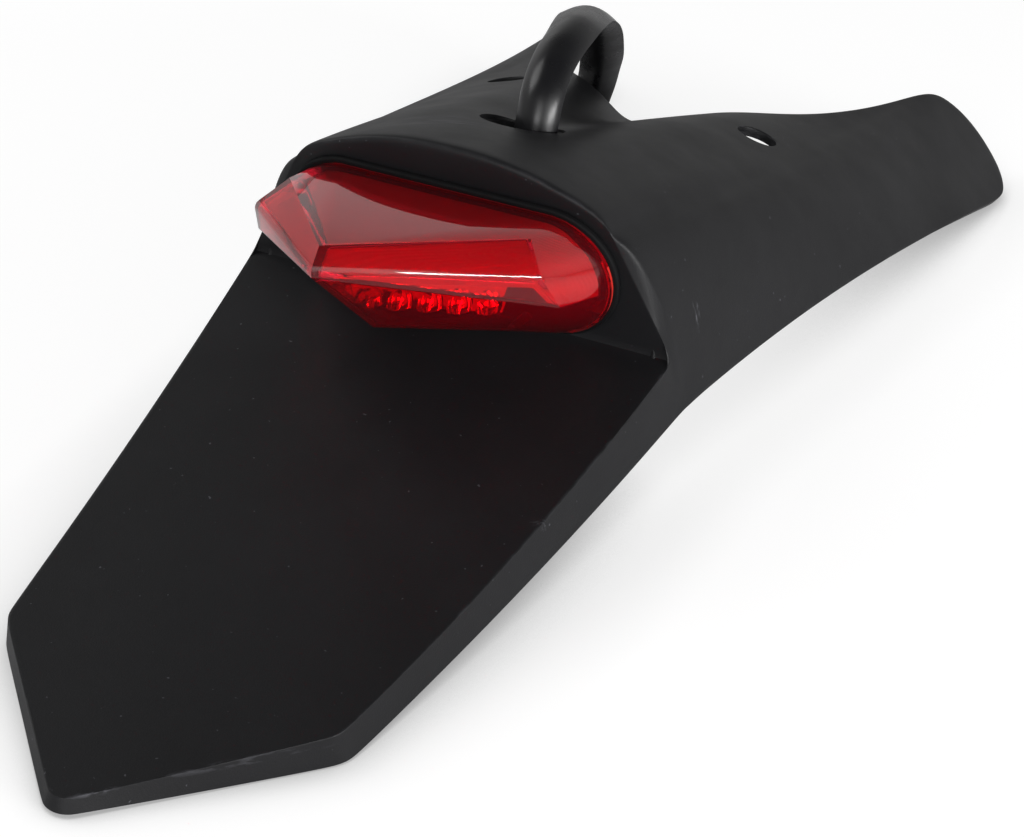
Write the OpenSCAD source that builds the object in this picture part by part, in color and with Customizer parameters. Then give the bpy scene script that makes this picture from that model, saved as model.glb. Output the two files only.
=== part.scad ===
// Tail tidy for an off-road motorbike with an LED rear lamp.
// Modelled in the frame of its number plate face, then set down as it rests on a table.
// Plate frame: X to the right, Y forward along the bike, Z out of the plate face.

/* [Number plate face] */
// half width of the face at its two lower corners
plate_half_low = 38.3; // [30:0.1:50]
// half width of the face at the foot of the lamp panel
plate_half_top = 55.3; // [45:0.1:70]
// how far the point reaches below the two lower corners
plate_point = 37.9; // [20:0.1:60]
// from the lower corners to the foot of the lamp panel
plate_length = 126.7; // [100:0.1:180]
// outward curve of each long side at its middle
plate_side_bow = 0.8; // [0:0.1:4]
// how far the face sags between the corners and the lamp
plate_sag = 2.9; // [0:0.1:6]
// corner radius at the lower corners
corner_r = 8; // [2:0.5:14]
// corner radius at the point
point_r = 4; // [1:0.5:10]

/* [Skirt and wall] */
// wall of the moulding
wall = 2.5; // [1.5:0.1:4]
// depth of the skirt at the point
skirt_point = 2.6; // [2.6:0.1:8]
// depth of the skirt at the lower corners
skirt_corner = 6.7; // [4:0.1:12]
// depth of the skirt beside the lamp panel
skirt_lamp = 16.2; // [8:0.1:24]
// outward lean of the skirt
skirt_lean = 1.6; // [0:0.1:4]
// how far the skirt's lower edge bows down between the corners and the lamp
skirt_bow = 1.2; // [0:0.1:4]

/* [Lamp hump and deck] */
// height of the lamp panel at its middle
hump_h = 44.6; // [36:0.1:55]
// height of the panel at its upper corners
hump_corner_h = 31.2; // [24:0.1:40]
// half width of the panel at its upper corners
hump_half = 40; // [34:0.1:50]
// rise of the deck's centre line over a straight line
deck_rise = 3.2; // [0:0.1:8]
// rise of the wings' lower edge over a straight line
wing_rise = 5.8; // [0:0.1:12]
// dip of the shoulder below a straight line from hump to wing tip
shoulder_dip = 4.0; // [0:0.1:6]

/* [Mounting holes] */
// distance between the two fender bolt holes
hole_spacing = 74.6; // [60:0.1:100]
// diameter of the two holes
hole_d = 10.9; // [6:0.1:14]
// how far forward of the lamp panel the holes lie
hole_ahead = 108.4; // [104:0.1:114]

/* [Cable hole] */
// width of the slot the cable leaves by
slot_w = 19; // [14:0.1:26]
// length of that slot
slot_l = 11; // [9:0.1:16]
// how far forward of the lamp panel it lies
slot_ahead = 39.3; // [38:0.1:41]

/* [Lamp] */
// half length of the lamp's foot on the panel
foot_half = 41.2; // [39:0.1:42]
// end radius of the lamp's foot
foot_r = 16.2; // [15:0.1:16.2]
// height of the foot's middle over the plate face
foot_z = 17.8; // [17.8:0.1:19]
// thickness of the rubber gasket
gasket_t = 1.8; // [1:0.1:3]
// how far the gasket shows round the lens
gasket_lip = 1.2; // [0.5:0.1:1.2]
// wall of the lens
lens_wall = 2.2; // [1.5:0.1:3]
// clearance between the lamp base and the lens
base_gap = 0.2; // [0.1:0.05:0.5]
// thickness of the lamp base
base_t = 2.6; // [2:0.1:3.2]
// distance between the two mounting studs
stud_spacing = 50; // [40:0.5:60]
// diameter of the studs
stud_d = 4; // [3:0.1:6]
// clearance on the diameter of each stud's hole
stud_gap = 0.4; // [0.2:0.1:1]
// distance between neighbouring lamp bowls
bowl_pitch = 6.6; // [6.6:0.1:6.8]
// mouth diameter of each bowl
bowl_d = 6.2; // [5.6:0.1:6.2]

/* [Cable] */
// diameter of the round part of the cable sleeve
sleeve_d = 9.6; // [8:0.1:10]
// wall of the cable sleeve
sleeve_wall = 0.6; // [0.4:0.1:1.2]
// diameter of each wire
wire_d = 1.9; // [1.6:0.1:2.1]
// clearance round a wire in its bullet cover
cover_gap = 0.35; // [0.2:0.05:0.6]
// diameter of the bullet terminals
bullet_d = 3.9; // [3:0.1:5]

/* [Hidden] */
$fn = 48;
n_top = 8;
n_side = 6;
n_col = n_top + n_side;
bowls = 6;

function ahead(p) = p + [0, plate_length, 0];
tip_low = ahead([90.8, 198.1, -71.8]);

// Side and foot of the moulding
function mix(a, b, t) = a + (b - a) * t;
function face_z(y) = -4 * plate_sag * (y / plate_length) * (1 - y / plate_length);
function side_x(y) = mix(plate_half_low, plate_half_top, y / plate_length)
    + 4 * plate_side_bow * (y / plate_length) * (1 - y / plate_length);
function skirt_h(y) = y < 0
    ? mix(skirt_corner, skirt_point, -y / plate_point)
    : mix(skirt_corner, skirt_lamp, y / plate_length) + face_z(y)
        + 4 * skirt_bow * (y / plate_length) * (1 - y / plate_length);

// Outline of the face from the point to the lamp panel, with the inward
// direction the skirt leans away from.
end_a = atan(plate_point / plate_half_low);
side_a = atan(plate_length / (plate_half_top - plate_half_low));
turn = side_a - end_a;
point_cy = -plate_point + point_r / cos(end_a);
corner_t = corner_r * tan(turn / 2);
corner_c = [
    plate_half_low - corner_t * cos(end_a) - corner_r * sin(end_a),
    -corner_t * sin(end_a) + corner_r * cos(end_a)
];
outline = concat(
    [for (k = [0:3]) let (a = end_a * k / 3)
        [point_r * sin(a), point_cy - point_r * cos(a), sin(a), -cos(a)]],
    [for (k = [1:4]) let (s = mix(0.13, 0.93, k / 4))
        [plate_half_low * s, -plate_point * (1 - s), sin(end_a), -cos(end_a)]],
    [for (k = [1:3]) let (a = end_a + turn * k / 3)
        [corner_c[0] + corner_r * sin(a), corner_c[1] - corner_r * cos(a), sin(a), -cos(a)]],
    [for (y = [12, 26, 41, 56, 71, 86, 100, 113, plate_length - 0.5])
        [side_x(y), y, sin(side_a), -cos(side_a)]]
);
n_out = len(outline);
centre_y = [for (i = [0:n_out - 1]) i < 11
    ? mix(point_cy - point_r, 6, pow(i / 10, 1.15))
    : mix(6, plate_length - 0.5, (i - 10) / (n_out - 11))];

function face_row(i) = let (
    e = outline[i],
    ez = face_z(e[1]),
    h = skirt_h(e[1])
) concat(
    [for (j = [0:n_top]) let (f = j / n_top, y = mix(centre_y[i], e[1], f))
        [e[0] * f, y, mix(face_z(centre_y[i]), ez, f)]],
    [for (k = [1:n_side]) let (f = k / n_side)
        [e[0] + e[2] * skirt_lean * f, e[1] + e[3] * skirt_lean * f, ez - h * f]]
);

// Rim of the hump, from its middle to its shoulder, then down the flank
rim_x = [0, 7.5, 14, 20, 25.5, 30.5, 34.6, 37.8, hump_half];
rim_d = [0, 0.2, 1, 2.3, 4.1, 6, 7.8, 10, hump_h - hump_corner_h];
flank = [for (p = [
    [43.8, 1.3, 28.4],
    [47.3, 2.7, 22.2],
    [50.7, 3.9, 14.2],
    [53.6, 4.9, 4.8],
    [56.0, 5.5, -6.0],
    [57.9, 5.7, -16.4]
]) ahead(p)];
rim = concat(
    [for (j = [0:n_top]) [rim_x[j], plate_length, hump_h - rim_d[j]]],
    flank
);
foot = concat(
    [for (j = [0:n_top]) [plate_half_top * j / n_top, plate_length, 0]],
    [for (k = [1:n_side]) let (f = k / n_side)
        [plate_half_top + skirt_lean * f, plate_length + 0.2 * f, -skirt_lamp * f]]
);
function panel_row(f) = [for (j = [0:n_col]) j <= n_top
    ? [mix(foot[j][0], rim[j][0], f), plate_length, mix(0, rim[j][2], f)]
    : let (g = (j - n_top) / n_side, r = rim[j], b = foot[j])
        [mix(b[0], r[0], f) + 1.2 * sin(180 * g) * f * (1 - f),
         mix(b[1], r[1], f),
         mix(b[2], r[2], f)]];

// Front edge, from the notch between the wings to a wing's lower corner
front = concat([for (p = [
    [0, 110.4, -13.8],
    [9.7, 118.5, -14.7],
    [18.2, 125.7, -16.3],
    [25.8, 131.7, -18.0],
    [34.0, 139.3, -21.2],
    [42.2, 151.7, -26.6],
    [49.6, 172.8, -35.4],
    [54.8, 194.3, -43.6],
    [60.4, 211.6, -48.8],
    [65.3, 215.4, -53.2],
    [70.5, 217.9, -58.6],
    [76.0, 218.7, -64.8],
    [81.5, 216.5, -70.1],
    [86.6, 209.9, -72.2]
]) ahead(p)], [tip_low]);
function deck_row(t) = [for (j = [0:n_col]) let (
    g = max(0, (j - n_top) / n_side),
    c = 1 - min(j, n_top) / n_top,
    r = [rim[j][0], max(rim[j][1], plate_length + 1.6 * min(1, t * 40)), rim[j][2]],
    s = 4 * t * (1 - t)
) [
    mix(r[0], front[j][0], t) + 0.8 * s * sin(180 * g),
    mix(r[1], front[j][1], t),
    mix(r[2], front[j][2], t)
        + s * (deck_rise * c + wing_rise * g * (1.25 - t / 2)
            - shoulder_dip * (0.2 + 1.5 * t) * max(0, sin(18 * (j - 3))))
]];

rows = concat(
    [for (i = [0:n_out - 1]) face_row(i)],
    [for (f = [0.008, 0.3, 0.6, 0.86, 0.965]) panel_row(f)],
    [for (t = [0.008, 0.04, 0.1, 0.18, 0.27, 0.36, 0.45, 0.54, 0.62, 0.7, 0.78, 0.86, 0.93, 1])
        deck_row(t)]
);
n_row = len(rows);

// Inner face: each point steps one wall thickness along the surface normal
function at(i, j) = j < 0 ? [-rows[i][-j][0], rows[i][-j][1], rows[i][-j][2]] : rows[i][j];
function unit(v) = v / max(norm(v), 1e-9);
function normal(i, j) = i == 0
    ? (j <= n_top ? [0, 0, 1] : [0, -1, 0])
    : let (
        u = at(min(i + 1, n_row - 1), j) - at(i - 1, j),
        v = at(i, min(j + 1, n_col)) - at(i, j == 0 ? -1 : j - 1)
    ) unit(cross(v, u));
function inner(i, j) = let (p = rows[i][j], n = normal(i, j), q = p - wall * n)
    [j == 0 || i == 0 ? 0 : max(q[0], 0.02), q[1], q[2]];
inner_rows = [for (i = [0:n_row - 1]) [for (j = [0:n_col]) i == 0 && j <= n_top
    ? rows[0][0] + [0, wall * 1.2, -wall]
    : i == 0
        ? rows[0][j] + [0, wall * 1.2, min(0, -wall - rows[0][j][2] + rows[0][0][2])]
        : inner(i, j)]];

// Resting pose: the lower corners and the wing tips touch the table. Where it puts a
// point, and the lift and shift that centre the part over the origin.
rear_edge = [for (i = [0:n_out - 1], r = [rows, inner_rows]) r[i][n_col]];
front_edge_low = concat(rows[n_row - 1], inner_rows[n_row - 1]);
rest_pitch = atan(min([for (r = rear_edge) max([for (f = front_edge_low) (r[2] - f[2]) / (f[1] - r[1])])]));
function rest_y(p) = p[1] * cos(rest_pitch) - p[2] * sin(rest_pitch);
function rest_z(p) = p[1] * sin(rest_pitch) + p[2] * cos(rest_pitch);
all_y = [for (r = concat(rows, inner_rows), p = r) rest_y(p)];
all_z = [for (r = concat(rows, inner_rows), p = r) rest_z(p)];
rest_back = (min(all_y) + max(all_y)) / 2;
rest_lift = -min(all_z);

module tube(path, half_w, half_t, side, n = 12) {
    last = len(path) - 1;
    function dir(i) = unit(path[min(i + 1, last)] - path[max(i - 1, 0)]);
    function across(i) = let (d = dir(i)) unit(side[i] - d * (side[i] * d));
    ring = [for (i = [0:last], k = [0:n - 1]) let (
        w = across(i),
        m = cross(dir(i), w),
        a = 360 * k / n
    ) path[i] + w * half_w[i] * cos(a) + m * half_t[i] * sin(a)];
    polyhedron(
        points = ring,
        faces = concat(
            [[for (k = [n - 1:-1:0]) k]],
            [[for (k = [0:n - 1]) last * n + k]],
            [for (i = [0:last - 1], k = [0:n - 1])
                [i * n + k, i * n + (k + 1) % n, (i + 1) * n + (k + 1) % n]],
            [for (i = [0:last - 1], k = [0:n - 1])
                [i * n + k, (i + 1) * n + (k + 1) % n, (i + 1) * n + k]]
        )
    );
}

// Lens corners: top face, ridge and keel, on the right half
lens_y = plate_length - gasket_t;
base_y = lens_y - base_t;
mouth_t = 0.8;
base_in = lens_wall + base_gap + 0.85 * (base_t - mouth_t);
base_half = foot_half - base_in;
base_r = foot_r - base_in;
screw_x = 19;
screw_z = foot_z - 10;
screw_d = 2.4;
function from_foot(x, y, z) = [x, lens_y - y, foot_z + z];
top_tip = from_foot(0, 54.3, 37.2);
top_mid = from_foot(29.5, 17.6, 22.5);
ridge_tip = from_foot(0, 58.7, 33.5);
ridge_end = from_foot(35.0, 24.6, 18.6);
side_end = from_foot(37.7, 20.6, 12.0);
keel_a = from_foot(0, 44.4, 14.0);
keel_b = from_foot(0, 31.4, 3.1);

// Cable, by hand: where it leaves the lamp, its loop over the deck, and its end below
grommet_end = plate_length + wall + 8;
sleeve_path = concat(
    [[0, grommet_end + 0.4, foot_z], [0.2, grommet_end + 4.8, foot_z + 0.1]],
    [for (p = [
        [1.2, 22.3, 18.1], [2.4, 29.3, 18.8], [3.2, 34.9, 20.8],
        [3.5, 38.8, 24.6], [3.5, 41.3, 29], [3.2, 44.7, 33], [2.7, 50.2, 36], [2.2, 57, 37.4],
        [1.6, 64.3, 37.2], [0.4, 72.3, 36], [-1.6, 80.8, 33], [-4.0, 89.3, 28.6], [-6.2, 98.3, 22.4],
        [-8.6, 106.8, 15], [-11.4, 114.8, 6.6], [-14.8, 123.6, -3], [-18.8, 131.8, -12.8],
        [-22.4, 138, -22.4], [-25.2, 140.4, -31], [-26.4, 139, -39], [-25.6, 132.8, -46.6],
        [-23.4, 126, -52.4], [-20.2, 116.6, -52], [-17, 105.3, -49.8]
    ]) ahead(p)]
);
sleeve_flat = [
    0, 0, 0, 0.1, 0.2,
    0.3, 0.3, 0.35, 0.4, 0.5,
    0.6, 0.75, 0.85, 0.85, 0.85,
    0.8, 0.75, 0.65, 0.5,
    0.4, 0.3, 0.2, 0.1,
    0, 0, 0
];
sleeve_end = sleeve_path[len(sleeve_path) - 1];
sleeve_run = unit(sleeve_end - sleeve_path[len(sleeve_path) - 2]);
sleeve_bore = 7;
wire_spread = [[-1.7, 0, -0.9], [1.7, 0, -0.9], [0, 0, 1.5]];

// Sets the plate frame down in its resting pose, centred over the origin.
module seat() {
    translate([0, -rest_back, rest_lift]) rotate([rest_pitch, 0, 0]) children();
}

// A bore along the upright of the resting pose
module upright(p, h) {
    translate(p) rotate([-rest_pitch, 0, 0]) translate([0, 0, -h / 2]) children();
}

// A bar along Y with round ends, seen along Y
module stadium(y, t, half, r) {
    for (s = [-1, 1])
        translate([s * (half - r), y + t, foot_z]) rotate([90, 0, 0]) cylinder(h = t, r = r);
    translate([-(half - r), y, foot_z - r]) cube([2 * (half - r), t, 2 * r]);
}

// A round bar along Y
module along_y(x, y, z, t, r) {
    translate([x, y + t, z]) rotate([90, 0, 0]) cylinder(h = t, r = r);
}

module shell_skin() {
    nv = n_row * (n_col + 1);
    function id(k, s, i, j) = let (
        jj = i == 0 && j <= n_top ? 0 : j,
        ss = i == 0 || jj == 0 ? 0 : s
    ) (2 * k + ss) * nv + i * (n_col + 1) + jj;
    function tri(a, b, c, flip) = a == b || b == c || a == c ? [] : [flip ? [a, c, b] : [a, b, c]];
    function quad(a, b, c, d, flip) = concat(tri(a, b, c, flip), tri(a, c, d, flip));
    pts = concat(
        [for (r = rows, p = r) p],
        [for (r = rows, p = r) [-p[0], p[1], p[2]]],
        [for (r = inner_rows, p = r) p],
        [for (r = inner_rows, p = r) [-p[0], p[1], p[2]]]
    );
    skin = [for (k = [0, 1], s = [0, 1], i = [0:n_row - 2], j = [0:n_col - 1])
        for (f = quad(id(k, s, i, j), id(k, s, i, j + 1), id(k, s, i + 1, j + 1), id(k, s, i + 1, j),
                      k + s != 1)) f];
    low_edge = [for (s = [0, 1], i = [0:n_row - 2])
        for (f = quad(id(0, s, i, n_col), id(1, s, i, n_col), id(1, s, i + 1, n_col),
                      id(0, s, i + 1, n_col), s == 0)) f];
    front_edge = [for (s = [0, 1], j = [0:n_col - 1])
        for (f = quad(id(0, s, n_row - 1, j), id(0, s, n_row - 1, j + 1), id(1, s, n_row - 1, j + 1),
                      id(1, s, n_row - 1, j), s == 0)) f];
    polyhedron(points = pts, faces = concat(skin, low_edge, front_edge));
}

module tail_shell() {
    color([0.09, 0.09, 0.1])
    difference() {
        shell_skin();
        for (s = [-1, 1]) {
            upright(ahead([s * hole_spacing / 2, hole_ahead, -7]), 30) cylinder(h = 30, d = hole_d);
            along_y(s * stud_spacing / 2, plate_length - 2, foot_z, wall + 6, (stud_d + stud_gap) / 2);
            upright(ahead([s * (slot_w - slot_l) / 2, slot_ahead, 26]), 30) cylinder(h = 30, d = slot_l);
        }
        upright(ahead([0, slot_ahead, 26]), 30) translate([-(slot_w - slot_l) / 2, -slot_l / 2, 0])
            cube([slot_w - slot_l, slot_l, 30]);
        along_y(0, plate_length - 2, foot_z, wall + 6, 8);
    }
}

module lamp_gasket() {
    color([0.03, 0.03, 0.03])
    difference() {
        stadium(lens_y, gasket_t, foot_half + gasket_lip, foot_r + gasket_lip);
        translate([-17, lens_y - 1, foot_z - 8]) cube([34, gasket_t + 2, 16]);
        for (s = [-1, 1])
            along_y(s * stud_spacing / 2, lens_y - 1, foot_z, gasket_t + 2, (stud_d + stud_gap) / 2);
    }
}

// Lens body: its faces moved inward by a wall, and its back moved out past the gasket's face
module lens_body(w, past) {
    k = w / lens_wall;
    corners = [
        top_tip + [0, 4.0, -3.9] * k,
        top_mid + [-2.7, 1.2, -2.7] * k,
        ridge_tip + [0, 4.2, -3.2] * k,
        ridge_end + [-2.9, 1.8, -2.2] * k,
        side_end + [-2.6, 1.4, 0] * k,
        keel_a + [0, 3.6, 0.6] * k,
        keel_b + [0, 2.6, 1.6] * k
    ];
    both = [for (s = [-1, 1], p = corners) [s * p[0], p[1], p[2]]];
    hull() {
        for (s = [-1, 1])
            translate([s * (foot_half - foot_r), lens_y + past, foot_z]) rotate([90, 0, 0])
                cylinder(h = mouth_t + past, r = foot_r - w);
        polyhedron(points = both, faces = [for (i = [1:len(both) - 2]) [0, i, i + 1]]);
    }
}

module lamp_lens() {
    color([0.75, 0.02, 0.06, 0.8])
    difference() {
        lens_body(0, 0);
        difference() {
            lens_body(lens_wall, 1);
            for (s = [-1, 1])
                along_y(s * screw_x, base_y - 16, screw_z, 16, 2.6);
        }
        for (s = [-1, 1]) along_y(s * screw_x, base_y - 6, screw_z, 8, screw_d / 2);
    }
}

refl_y = lens_y - 22.6;
refl_z = foot_z + 10.8;
refl_tilt = 35;
refl_w = bowls * bowl_pitch + 0.4;
post_x = 15;
grommet_d = 10;
grommet_gap = 0.1;

// Frame of the reflector: its bowls open along local -Y
module refl_frame() {
    translate([0, refl_y, refl_z]) rotate([-refl_tilt, 0, 0]) children();
}

module lamp_base() {
    color([0.06, 0.06, 0.06])
    difference() {
        union() {
            stadium(base_y, base_t, base_half, base_r);
            translate([-16.6, lens_y - 0.01, foot_z - 7.6]) cube([33.2, gasket_t, 15.2]);
            along_y(0, lens_y, foot_z, wall + gasket_t + 3, 7.7);
            intersection() {
                refl_frame()
                    for (s = [-1, 1])
                        translate([s * post_x, 6.2, 0]) rotate([-90, 0, 0]) cylinder(h = 24, d = 3);
                translate([-30, base_y - 30, 0]) cube([60, 31, 60]);
            }
        }
        along_y(0, base_y - 1, foot_z, 20, grommet_d / 2 + grommet_gap);
        for (s = [-1, 1]) {
            along_y(s * stud_spacing / 2, base_y - 1, foot_z, 20, stud_d / 2);
            along_y(s * screw_x, base_y - 1, screw_z, 20, screw_d / 2 + 0.15);
            along_y(s * screw_x, lens_y - 1.4, screw_z, 20, 2.4);
        }
    }
}

module lens_seal() {
    color([0.12, 0.12, 0.12])
    difference() {
        stadium(lens_y - 0.8, 0.8, foot_half - lens_wall - 0.05, foot_r - lens_wall - 0.05);
        stadium(lens_y - 2, 4, base_half + 0.05, base_r + 0.05);
    }
}

module lamp_reflector() {
    color([0.8, 0.8, 0.82])
    refl_frame() difference() {
        union() {
            translate([-refl_w / 2, 0, -3.4]) cube([refl_w, 1.2, 8.4]);
            for (k = [0:bowls - 1])
                translate([(k - (bowls - 1) / 2) * bowl_pitch, 0, 0]) rotate([-90, 0, 0])
                    cylinder(h = 4.6, d1 = bowl_d + 0.4, d2 = 4.2);
        }
        for (k = [0:bowls - 1])
            translate([(k - (bowls - 1) / 2) * bowl_pitch, -0.01, 0]) rotate([-90, 0, 0])
                cylinder(h = 4.8, d1 = bowl_d - 0.4, d2 = 3.2);
    }
}

module lamp_board() {
    color([0.1, 0.35, 0.15])
    refl_frame() translate([-19.6, 4.6, -3.4]) cube([39.2, 1.6, 8.2]);
}

module lamp_leds() {
    color([0.9, 0.75, 0.7])
    refl_frame()
        for (k = [0:bowls - 1])
            translate([(k - (bowls - 1) / 2) * bowl_pitch, 4.6, 0]) rotate([90, 0, 0]) {
                cylinder(h = 2.2, d = 3);
                translate([0, 0, 2.2]) sphere(d = 3);
            }
}

module lamp_resistors() {
    color([0.15, 0.15, 0.2])
    refl_frame()
        for (k = [0:3])
            translate([(k - 1.5) * 6.6 - 1.6, 6.2, -1.3]) cube([3.2, 0.6, 2.6]);
}

module lens_screws() {
    color([0.75, 0.75, 0.76])
    for (s = [-1, 1]) {
        along_y(s * screw_x, lens_y - 1.4, screw_z, 1.3, 2.2);
        along_y(s * screw_x, base_y - 5.5, screw_z, base_t + 4.2, screw_d / 2);
    }
}

module lamp_studs() {
    color([0.72, 0.72, 0.74])
    for (s = [-1, 1])
        along_y(s * stud_spacing / 2, base_y, foot_z, base_t + gasket_t + wall + 9, stud_d / 2);
}

washer_y = plate_length + wall;

module stud_washers() {
    color([0.8, 0.8, 0.8])
    for (s = [-1, 1])
        difference() {
            along_y(s * stud_spacing / 2, washer_y, foot_z, 0.8, 4.5);
            along_y(s * stud_spacing / 2, washer_y - 1, foot_z, 3, (stud_d + 0.3) / 2);
        }
}

module stud_nuts() {
    color([0.78, 0.78, 0.8])
    for (s = [-1, 1])
        difference() {
            translate([s * stud_spacing / 2, washer_y + 4, foot_z]) rotate([90, 0, 0])
                cylinder(h = 3.2, d = 7.7, $fn = 6);
            along_y(s * stud_spacing / 2, washer_y - 1, foot_z, 8, stud_d / 2);
        }
}

module cable_grommet() {
    color([0.05, 0.05, 0.05])
    difference() {
        union() {
            along_y(0, base_y + 0.6, foot_z, base_t + gasket_t + wall + 2.4, grommet_d / 2);
            along_y(0, grommet_end - 5, foot_z, 5, 6.6);
        }
        along_y(0, base_y - 1, foot_z, 30, 1.9);
    }
}

module cable_sleeve() {
    color([0.04, 0.04, 0.045])
    difference() {
        tube(
            sleeve_path,
            [for (f = sleeve_flat) sleeve_d / 2 * (1 + 0.5 * f)],
            [for (f = sleeve_flat) sleeve_d / 2 * (1 - 0.52 * f)],
            [for (p = sleeve_path) [1, 0.05, 0]]
        );
        translate(sleeve_end - sleeve_bore * sleeve_run)
            rotate([0, acos(sleeve_run[2]), atan2(sleeve_run[1], sleeve_run[0])])
                cylinder(h = sleeve_bore + 1, d = sleeve_d - 2 * sleeve_wall, $fn = 24);
    }
}

// Three wires start in the bore at the sleeve's end and lie on the table under the deck.
wire_lay = [
    [[-19.6, 95.3, -50.4], [-22, 85.3, -49.2], [-24.4, 75.3, -47], [-25.4, 65.3, -44.4], [-25.6, 55.3, -42]],
    [[-14, 95.3, -50.4], [-10.8, 85.3, -49.2], [-8, 75.3, -47], [-6.8, 65.3, -44.4], [-6.4, 55.3, -42]],
    [[-17, 95.3, -48.6], [-16.6, 85.3, -48.4], [-16.2, 75.3, -46.8], [-16, 65.3, -44.4], [-16, 55.3, -42]]
];

module wire(k) {
    from_axis = wire_spread[k] - sleeve_run * (wire_spread[k] * sleeve_run);
    start = sleeve_end + from_axis;
    path = concat([start - sleeve_bore * sleeve_run, start], [for (p = wire_lay[k]) ahead(p)]);
    r = [for (p = path) wire_d / 2];
    tube(path, r, r, [for (p = path) [1, 0, 0]], 8);
}

module wire_red() {
    color([0.7, 0.05, 0.05]) wire(0);
}

module wire_yellow() {
    color([0.85, 0.7, 0.1]) wire(1);
}

module wire_black() {
    color([0.05, 0.05, 0.05]) wire(2);
}

// A round bar from a wire's end, running on towards the rear
module at_wire_end(k) {
    translate(ahead(wire_lay[k][4])) rotate([90 - rest_pitch, 0, 0]) children();
}

module wire_bullets() {
    color([0.8, 0.65, 0.35])
    for (k = [0:2]) at_wire_end(k) {
        translate([0, 0, 1]) cylinder(h = 12, d = bullet_d - 0.9);
        translate([0, 0, 13]) cylinder(h = 3, d1 = bullet_d - 0.9, d2 = 1.6);
    }
}

module bullet_covers() {
    color([0.85, 0.85, 0.85, 0.5])
    for (k = [0:2]) at_wire_end(k)
        difference() {
            translate([0, 0, -4]) cylinder(h = 12, d = bullet_d + 1);
            translate([0, 0, -5]) cylinder(h = 6, d = wire_d + 2 * cover_gap);
            translate([0, 0, 1]) cylinder(h = 8, d = bullet_d - 0.9);
        }
}

seat() tail_shell();
seat() lamp_gasket();
seat() lamp_lens();
seat() lens_seal();
seat() lamp_base();
seat() lamp_reflector();
seat() lamp_board();
seat() lamp_leds();
seat() lamp_resistors();
seat() lens_screws();
seat() lamp_studs();
seat() stud_washers();
seat() stud_nuts();
seat() cable_grommet();
seat() cable_sleeve();
seat() wire_red();
seat() wire_yellow();
seat() wire_black();
seat() wire_bullets();
seat() bullet_covers();
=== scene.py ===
"""Dresses the tail tidy: its moulded shell, rear lamp, cable and small hardware, on a plain stage."""

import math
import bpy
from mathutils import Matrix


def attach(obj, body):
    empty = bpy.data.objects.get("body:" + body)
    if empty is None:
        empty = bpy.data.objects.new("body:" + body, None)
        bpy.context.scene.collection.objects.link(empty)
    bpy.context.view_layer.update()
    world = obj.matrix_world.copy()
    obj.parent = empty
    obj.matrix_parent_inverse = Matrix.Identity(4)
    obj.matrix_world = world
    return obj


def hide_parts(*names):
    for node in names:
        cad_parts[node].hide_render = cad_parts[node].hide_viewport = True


bl_info = {
    "name": "Tail tidy",
    "version": (1, 0, 0),
    "blender": (4, 5, 0),
    "location": "3D View > Sidebar > Tail tidy",
    "description": "Models the shell, lamp and cable of a motorbike tail tidy round its fixed frame",
    "category": "Add Mesh",
}

import bmesh
import bpy
from bpy.props import FloatProperty, FloatVectorProperty, IntProperty, PointerProperty
from mathutils import Matrix, Vector

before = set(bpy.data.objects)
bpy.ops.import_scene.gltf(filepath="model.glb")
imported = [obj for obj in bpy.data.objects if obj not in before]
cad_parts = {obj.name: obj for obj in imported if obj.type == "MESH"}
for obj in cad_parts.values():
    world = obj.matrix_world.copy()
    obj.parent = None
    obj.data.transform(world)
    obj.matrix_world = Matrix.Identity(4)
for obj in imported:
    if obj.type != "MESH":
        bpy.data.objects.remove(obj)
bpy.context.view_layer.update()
MM = 0.001
TINY = 1e-6
# Turns a bar that stands on its end to lie along Y.
ALONG_Y = Matrix.Rotation(math.radians(90), 4, "X")
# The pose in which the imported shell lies: its pitch, how far back and how high.
REST_PITCH = math.radians(11.6028)
REST_BACK = 156.988 * MM
REST_LIFT = 7.1214 * MM
# Columns of the shell's half: over its top, down its side, and both.
N_TOP = 8
N_SIDE = 6
N_COL = N_TOP + N_SIDE
# The holes in the lamp panel, and how deep their cutters reach.
WIRE_HOLE_R = 8 * MM
STUD_HOLE_R = 2.2 * MM
STUD_HALF = 25 * MM
PANEL_CUT = 9 * MM
DECK_CUT = 30 * MM
DECK_AT_HOLES = -7 * MM
DECK_AT_SLOT = 26 * MM
# The bent plate of bowls: its height and wall, and how thin each spun bowl is.
PLATE_H = 10.4 * MM
PLATE_T = 1.2 * MM
BOWL_DEPTH = 4.6 * MM
BOWL_WALL = 0.3 * MM
SHELF_GAP = 0.6 * MM
SHELF_T = 1.6 * MM


def length(name, description, mm):
    return FloatProperty(name=name, description=description, default=mm * MM, unit="LENGTH", precision=4)


def colour(name, description, rgb):
    return FloatVectorProperty(
        name=name, description=description, default=rgb, subtype="COLOR", size=3, min=0, max=1
    )


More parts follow.
